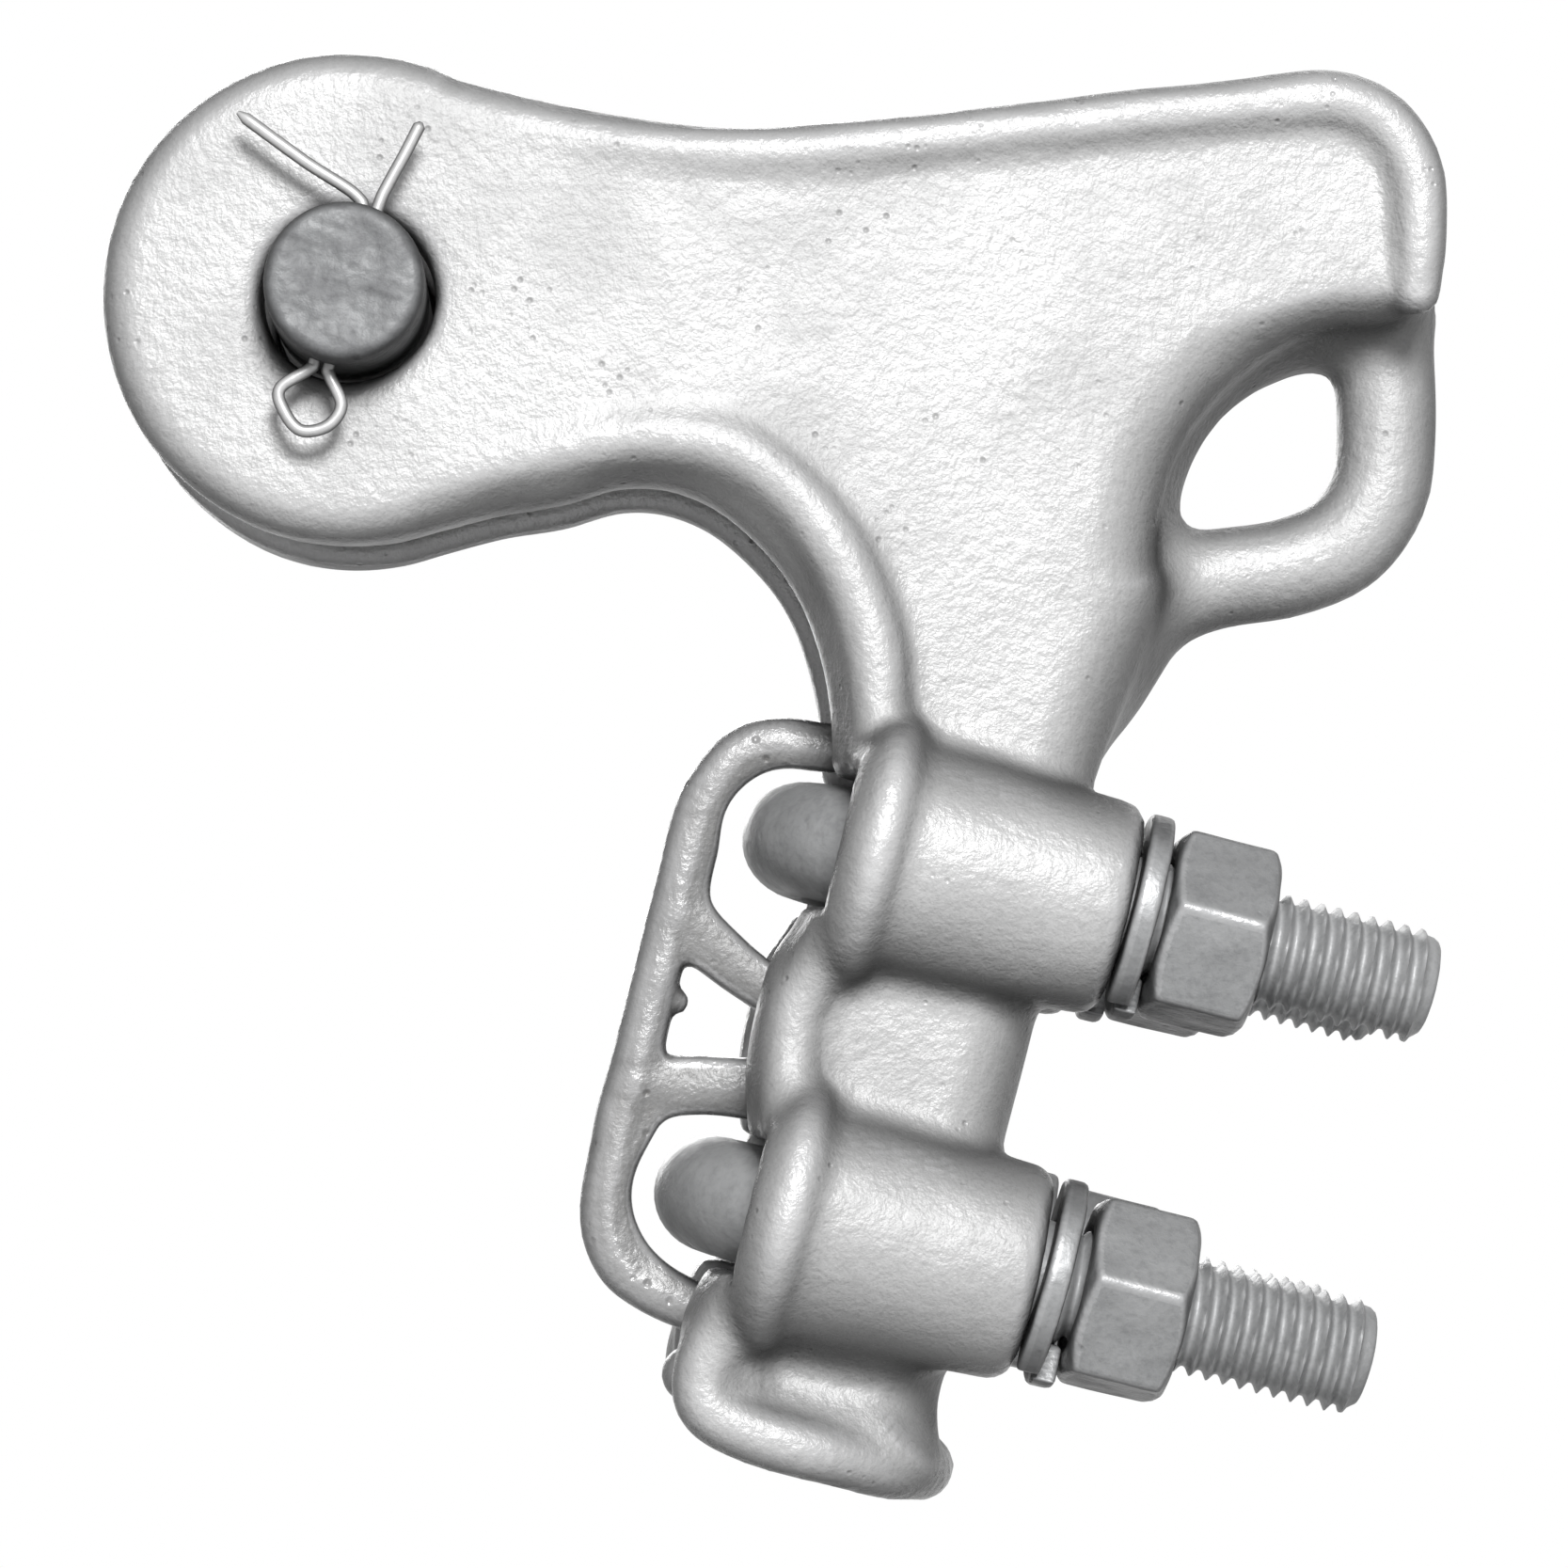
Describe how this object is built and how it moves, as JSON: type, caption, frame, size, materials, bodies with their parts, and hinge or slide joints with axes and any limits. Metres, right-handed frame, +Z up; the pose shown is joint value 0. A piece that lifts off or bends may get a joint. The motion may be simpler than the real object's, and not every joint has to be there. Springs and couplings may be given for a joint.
{
  "type": "bolted strain clamp",
  "caption": "Quadrant strain clamp for an overhead conductor: cast clevis body, keeper drawn in by U-bolts, pulling eye and cottered clevis pin.",
  "frame": {"origin": "axis of the clevis pin, midway between the two ears", "axes": "+X out of the mouth along the line conductor, +Z up with the grip below, +Y away from the cotter"},
  "size_m": [0.138, 0.0628, 0.1469],
  "materials": {
    "cast_aluminium": "sand-cast, matt and grainy",
    "cast_keeper": "sand-cast, matt and grainy",
    "galvanised_bolt": "hot-dip galvanised, matt grey",
    "galvanised_nut": "hot-dip galvanised, matt grey",
    "galvanised_washer": "hot-dip galvanised, matt grey",
    "galvanised_pin": "hot-dip galvanised, matt grey",
    "cotter_steel": "bright drawn wire, dulled"
  },
  "bodies": {
    "body": {"clamp_body": "cast_aluminium", "upper_near_lock_washer": "galvanised_washer", "upper_far_lock_washer": "galvanised_washer", "lower_near_lock_washer": "galvanised_washer", "lower_far_lock_washer": "galvanised_washer"},
    "keeper": {"keeper": "cast_keeper"},
    "upper_u_bolt": {"upper_u_bolt": "galvanised_bolt"},
    "upper_near_nut": {"upper_near_nut": "galvanised_nut"},
    "upper_far_nut": {"upper_far_nut": "galvanised_nut"},
    "lower_u_bolt": {"lower_u_bolt": "galvanised_bolt"},
    "lower_near_nut": {"lower_near_nut": "galvanised_nut"},
    "lower_far_nut": {"lower_far_nut": "galvanised_nut"},
    "clevis_pin": {"clevis_pin": "galvanised_pin", "cotter_pin": "cotter_steel"}
  },
  "joints": [
    {"name": "lower_u_bolt_slide", "type": "slide", "parent": "body", "child": "lower_u_bolt", "axis": [0.9703, 0, -0.2419], "range_m": [-0.0088, 0.0032]},
    {"name": "upper_u_bolt_slide", "type": "slide", "parent": "body", "child": "upper_u_bolt", "axis": [0.9703, 0, -0.2419], "range_m": [-0.0088, 0.0032]},
    {"name": "keeper_slide", "type": "slide", "parent": "body", "child": "keeper", "axis": [0.9703, 0, -0.2419], "range_m": [-0.0088, 0.0032]},
    {"name": "upper_near_nut_turn", "type": "hinge", "parent": "body", "child": "upper_near_nut", "pos_m": [0.08704, -0.017, -0.06427], "axis": [0.9703, 0, -0.2419], "range_deg": [-660, 1812]},
    {"name": "upper_far_nut_turn", "type": "hinge", "parent": "body", "child": "upper_far_nut", "pos_m": [0.08704, 0.017, -0.06427], "axis": [0.9703, 0, -0.2419], "range_deg": [-660, 1812]},
    {"name": "lower_near_nut_turn", "type": "hinge", "parent": "body", "child": "lower_near_nut", "pos_m": [0.07792, -0.017, -0.10085], "axis": [0.9703, 0, -0.2419], "range_deg": [-660, 1812]},
    {"name": "lower_far_nut_turn", "type": "hinge", "parent": "body", "child": "lower_far_nut", "pos_m": [0.07792, 0.017, -0.10085], "axis": [0.9703, 0, -0.2419], "range_deg": [-660, 1812]},
    {"name": "clevis_pin_turn", "type": "hinge", "parent": "body", "child": "clevis_pin", "pos_m": [0, 0, 0], "axis": [0, 1, 0], "continuous": true}
  ],
  "couplings": [
    {"joint": "upper_u_bolt_slide", "follows": "lower_u_bolt_slide", "ratio": 1},
    {"joint": "keeper_slide", "follows": "lower_u_bolt_slide", "ratio": 1},
    {"joint": "upper_near_nut_turn", "follows": "lower_u_bolt_slide", "rad_per_m": -3590.4},
    {"joint": "upper_far_nut_turn", "follows": "lower_u_bolt_slide", "rad_per_m": -3590.4},
    {"joint": "lower_near_nut_turn", "follows": "lower_u_bolt_slide", "rad_per_m": -3590.4},
    {"joint": "lower_far_nut_turn", "follows": "lower_u_bolt_slide", "rad_per_m": -3590.4}
  ]
}
